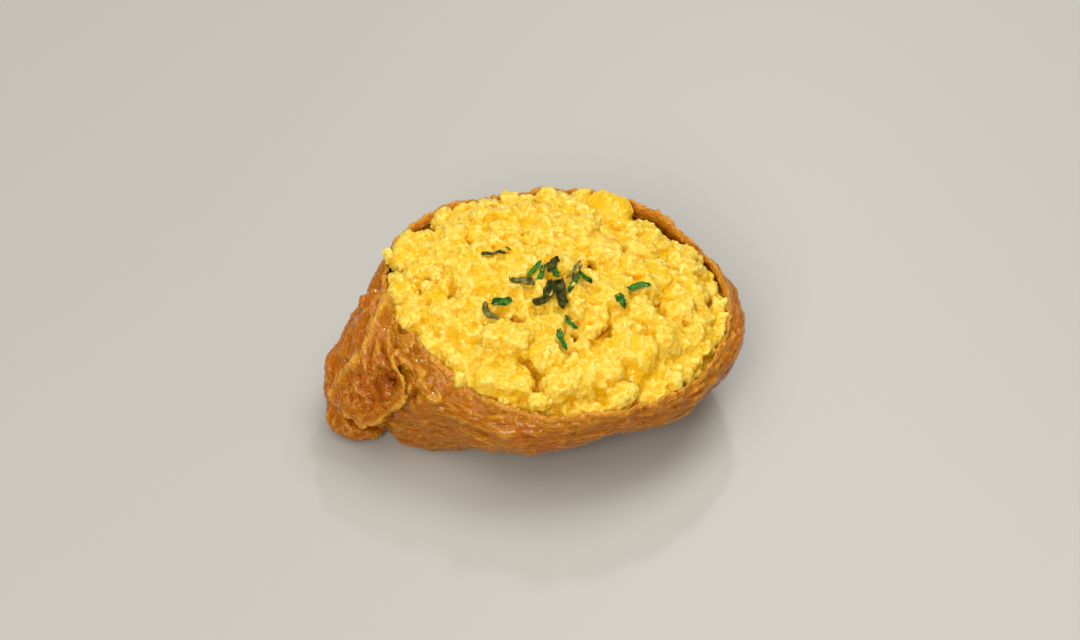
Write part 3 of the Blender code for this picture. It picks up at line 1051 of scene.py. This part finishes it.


# %% [markdown]
# Soft egg scatters light inside it. Its creases and covered hollows are painted a
# deeper orange-yellow as painted shade, and its crumbly crests are painted pale, partly
# as their own paler colour and partly as a painted highlight. The stored numbers choose
# between the four colours, and a thin coat stands for the moisture on the parts that
# lie open.

# %% The egg's material
# The pale colour is partly the crumbs' own colour and partly a painted highlight on the crests
PALE_AND_HIGHLIGHT_EGG = (0.91, 0.68, 0.13, 1)
WARM_EGG = (0.88, 0.53, 0.001, 1)
YOLK_EGG = (0.89, 0.53, 0.001, 1)
# Painted shade: the deeper orange-yellow given to creases and covered hollows
PAINTED_SHADE_EGG = (0.86, 0.42, 0.001, 1)

egg_material, tree, shader = new_material("soft_egg", PALE_AND_HIGHLIGHT_EGG[:3])
here = add_node(tree, "ShaderNodeTexCoord").outputs["Object"]
patches = use_group(tree, mottle_group, here, 260.0)
crest, openness, yolk = (value_of(tree, name) for name in ("crest", "openness", "yolk"))
# Crests are painted pale: partly paler crumbs, partly a painted highlight
pale_and_highlight = ranged(tree, crest, -0.15, 0.5)
pale_and_highlight = sums(tree, "MULTIPLY_ADD", patches.outputs["Patches"], 0.35, pale_and_highlight)
pale_and_highlight = sums(tree, "MULTIPLY", pale_and_highlight, 0.9, clamp=True)
colour = blend(tree, pale_and_highlight, WARM_EGG, PALE_AND_HIGHLIGHT_EGG)
colour = blend(tree, yolk, colour, YOLK_EGG)
# Painted shade: covered points and concave creases take the darker orange-yellow
painted_shade = ranged(tree, openness, 0.6, 0.0)
hollow_shade = ranged(tree, crest, -0.1, -0.6)
painted_shade = sums(tree, "MULTIPLY_ADD", hollow_shade, 0.15, painted_shade, clamp=True)
colour = blend(tree, painted_shade, colour, PAINTED_SHADE_EGG)
tree.links.new(colour, shader.inputs["Base Color"])
roughness = ranged(tree, patches.outputs["Specks"], 0.0, 1.0, 0.45, 0.25)
tree.links.new(roughness, shader.inputs["Roughness"])
set_inputs(shader, {
    "Subsurface Weight": 0.75,
    "Subsurface Radius": (1.0, 0.9, 0.4),
    "Subsurface Scale": 0.0018,
    "Specular IOR Level": 0.1,
    "Coat Roughness": 0.06,
    "Coat IOR": 1.4,
})
wetness = ranged(tree, openness, 0.2, 0.8, 0.1, 0.9)
tree.links.new(wetness, shader.inputs["Coat Weight"])
fine = use_group(tree, relief_group, here, 1500.0)
bumped(tree, shader, fine.outputs["Height"], 0.85, 0.4 * MM)
for piece in (egg_curds, egg_core):
    dress(piece, egg_material)
print("soft_egg has", len(tree.nodes), "nodes")

# %% [markdown]
# The skin soaked up broth: amber, deeper amber at the folded corner, and darker in its
# creases, which is painted shade. Along the ridges and the thin edges of its folds it is
# tan where the fried surface dried, lightened further as a painted highlight, and the cut
# lip is pale, partly from its spongy cut and partly as a painted glow of the thin lip. A
# coat stands for the broth that still clings to it.

# %% The skin's material
TAN_SKIN = (0.46, 0.14, 0.001, 1)
# Ridge colour: the tan of dried fried skin, partly a painted highlight
TAN_AND_HIGHLIGHT_SKIN = (0.74, 0.38, 0.03, 1)
AMBER_SKIN = (0.47, 0.107, 0.0004, 1)
# Painted shade: the dark colour of the creases
CREASE_SHADE_SKIN = (0.22, 0.036, 0.0002, 1)
# Lip colour: the pale spongy cut, partly a painted glow of the thin lip
LIP_PALE_AND_GLOW_SKIN = (0.72, 0.32, 0.03, 1)

skin_material, tree, shader = new_material("simmered_tofu_skin", TAN_SKIN[:3])
here = add_node(tree, "ShaderNodeTexCoord").outputs["Object"]
flow_place = add_node(tree, "ShaderNodeAttribute", attribute_name="flow").outputs["Vector"]
drawn_out = add_node(
    tree, "ShaderNodeMapping", {"Vector": flow_place, "Scale": (0.22, 1.0, 1.0)}
).outputs["Vector"]
streaks = use_group(tree, mottle_group, drawn_out, 0.55)
patches = use_group(tree, mottle_group, here, 110.0)
crest, lip_value, corner_value = (value_of(tree, name) for name in ("crest", "lip", "corner"))
colour = blend(tree, patches.outputs["Patches"], TAN_SKIN, AMBER_SKIN)
corner_share = sums(tree, "MULTIPLY", corner_value, 0.75)
colour = blend(tree, corner_share, colour, AMBER_SKIN)
# Ridges are painted lighter: partly dried tan, partly a painted highlight
tan_and_highlight = ranged(tree, crest, 0.0, 0.35)
tan_and_highlight = sums(tree, "MULTIPLY_ADD", streaks.outputs["Specks"], 0.7, tan_and_highlight)
tan_and_highlight = sums(tree, "MULTIPLY", tan_and_highlight, 0.5, clamp=True)
colour = blend(tree, tan_and_highlight, colour, TAN_AND_HIGHLIGHT_SKIN)
# Painted shade: creases below the mean surface are darkened
crease_shade = ranged(tree, crest, 0.0, -0.4, 0.0, 0.75)
colour = blend(tree, crease_shade, colour, CREASE_SHADE_SKIN)
# The thin edges of raised folds are painted lighter: partly dried tan, partly a painted highlight
# and glow of thin skin
edge_tan_and_highlight = sums(tree, "MULTIPLY", value_of(tree, "edge"), 0.6, clamp=True)
colour = blend(tree, edge_tan_and_highlight, colour, TAN_AND_HIGHLIGHT_SKIN)
# The cut lip is painted paler: partly its spongy cut, partly a painted glow of the thin lip
lip_pale_and_glow = sums(tree, "MULTIPLY", lip_value, 0.5)
colour = blend(tree, lip_pale_and_glow, colour, LIP_PALE_AND_GLOW_SKIN)
tree.links.new(colour, shader.inputs["Base Color"])
dryness = ranged(tree, streaks.outputs["Patches"], 0.0, 1.0, 0.3, 0.5)
dryness = sums(tree, "MULTIPLY_ADD", corner_value, -0.14, dryness)
dryness = sums(tree, "MULTIPLY_ADD", lip_value, 0.18, dryness, clamp=True)
tree.links.new(dryness, shader.inputs["Roughness"])
set_inputs(shader, {
    "Subsurface Weight": 0.5,
    "Subsurface Radius": (1.0, 0.4, 0.08),
    "Subsurface Scale": 0.0016,
    "Specular IOR Level": 0.05,
    "Coat Roughness": 0.06,
    "Coat IOR": 1.3,
})
wetness = ranged(tree, crest, -0.3, 0.1, 0.3, 1.0)
tree.links.new(wetness, shader.inputs["Coat Weight"])
fine = use_group(tree, relief_group, here, 1700.0)
fibres = sums(tree, "MULTIPLY", fine.outputs["Height"], 0.5)
fibres = sums(tree, "MULTIPLY_ADD", streaks.outputs["Specks"], 0.8, fibres)
bumped(tree, shader, fibres, 0.9, 0.6 * MM)
dress(tofu_skin, skin_material)
print("simmered_tofu_skin has", len(tree.nodes), "nodes")

# %% [markdown]
# Dried leaf is thin and dull, so it gets no coat. Each of the three colours is mottled
# between a dark and a light value, as a leaf that dried unevenly.

# %% The parsley's materials
LEAF_COLOURS = {
    "green": ((0.012, 0.07, 0.006, 1), (0.07, 0.24, 0.03, 1)),
    "dried": ((0.022, 0.028, 0.004, 1), (0.11, 0.11, 0.025, 1)),
    "straw": ((0.07, 0.065, 0.012, 1), (0.26, 0.23, 0.07, 1)),
}
for piece in parsley:
    dark, light = LEAF_COLOURS[piece.name.split("_")[1]]
    leaf, tree, shader = new_material(piece.name, light[:3])
    here = add_node(tree, "ShaderNodeTexCoord").outputs["Object"]
    patches = use_group(tree, mottle_group, here, 900.0)
    colour = blend(tree, patches.outputs["Patches"], dark, light)
    tree.links.new(colour, shader.inputs["Base Color"])
    set_inputs(shader, {"Roughness": 0.65, "Specular IOR Level": 0.1})
    fine = use_group(tree, relief_group, here, 4000.0)
    bumped(tree, shader, fine.outputs["Height"], 0.5, 0.1 * MM)
    dress(piece, leaf)
    print(piece.name, "has", len(tree.nodes), "nodes")

# %% [markdown]
# ## The scene
#
# A pale floor, a window light from behind on the right, a broad one overhead, a warm
# fill from the front left, and a small one behind that only makes the wet parts glint.

# %% Floor and light
bpy.ops.mesh.primitive_plane_add(size=6.0, location=(0, 0, 0))
floor = bpy.context.object
floor.name = "floor"
floor_material, tree, shader = new_material("pale_floor", (0.7, 0.68, 0.65))
set_inputs(shader, {"Base Color": (0.43, 0.425, 0.415, 1), "Roughness": 0.45})
dress(floor, floor_material)


# Name, place, size, power and colour
LIGHTS = (
    ("window", (0.3, 0.38, 0.9), 0.6, 4.6, (1.0, 0.98, 0.92)),
    ("overhead", (-0.2, -0.2, 1.1), 1.1, 5.8, (1.0, 0.98, 0.91)),
    ("front", (-0.25, -0.8, 0.62), 0.5, 6.6, (1.0, 0.96, 0.86)),
    ("sparkle", (0.1, 0.7, 0.62), 0.07, 0.9, (1.0, 1.0, 1.0)),
)
LIGHT_AIM = (0, 0, 0.01)


def add_light(name, place, size, power, colour):
    bpy.ops.object.light_add(type="AREA", location=place)
    light = bpy.context.object
    light.name = name
    light.data.shape = "DISK"
    light.data.size = size
    light.data.energy = power
    light.data.color = colour
    aim = Vector(LIGHT_AIM) - Vector(place)
    light.rotation_euler = aim.to_track_quat("-Z", "Y").to_euler()


for row in LIGHTS:
    add_light(*row)
print(len(LIGHTS), "lights")
world = bpy.data.worlds.new("room")
bpy.context.scene.world = world
world.use_nodes = True
set_inputs(
    world.node_tree.nodes["Background"], {"Color": (1.0, 0.93, 0.76, 1), "Strength": 0.24}
)
bpy.context.scene.view_settings.view_transform = "Standard"

# %% [markdown]
# The camera stands a little over half a metre away with a long lens, as for a dish on
# a table, so the pouch is hardly distorted.

# %% Camera
CAMERA_PLACE = (0.00115, -0.4129, 0.3873)
CAMERA_PITCH, CAMERA_ROLL, CAMERA_LENS = 42.0, 1.5, 94.33
bpy.ops.object.camera_add(location=CAMERA_PLACE)
camera = bpy.context.object
camera.name = "camera"
looking = Euler((math.radians(90 - CAMERA_PITCH), 0, 0)).to_matrix()
rolled = Euler((0, 0, math.radians(CAMERA_ROLL))).to_matrix()
camera.rotation_euler = (looking @ rolled).to_euler()
camera.data.sensor_width = 36.0
camera.data.lens = CAMERA_LENS
camera.data.clip_start = 0.01
bpy.context.scene.camera = camera
print("camera looks down at", CAMERA_PITCH, "degrees")
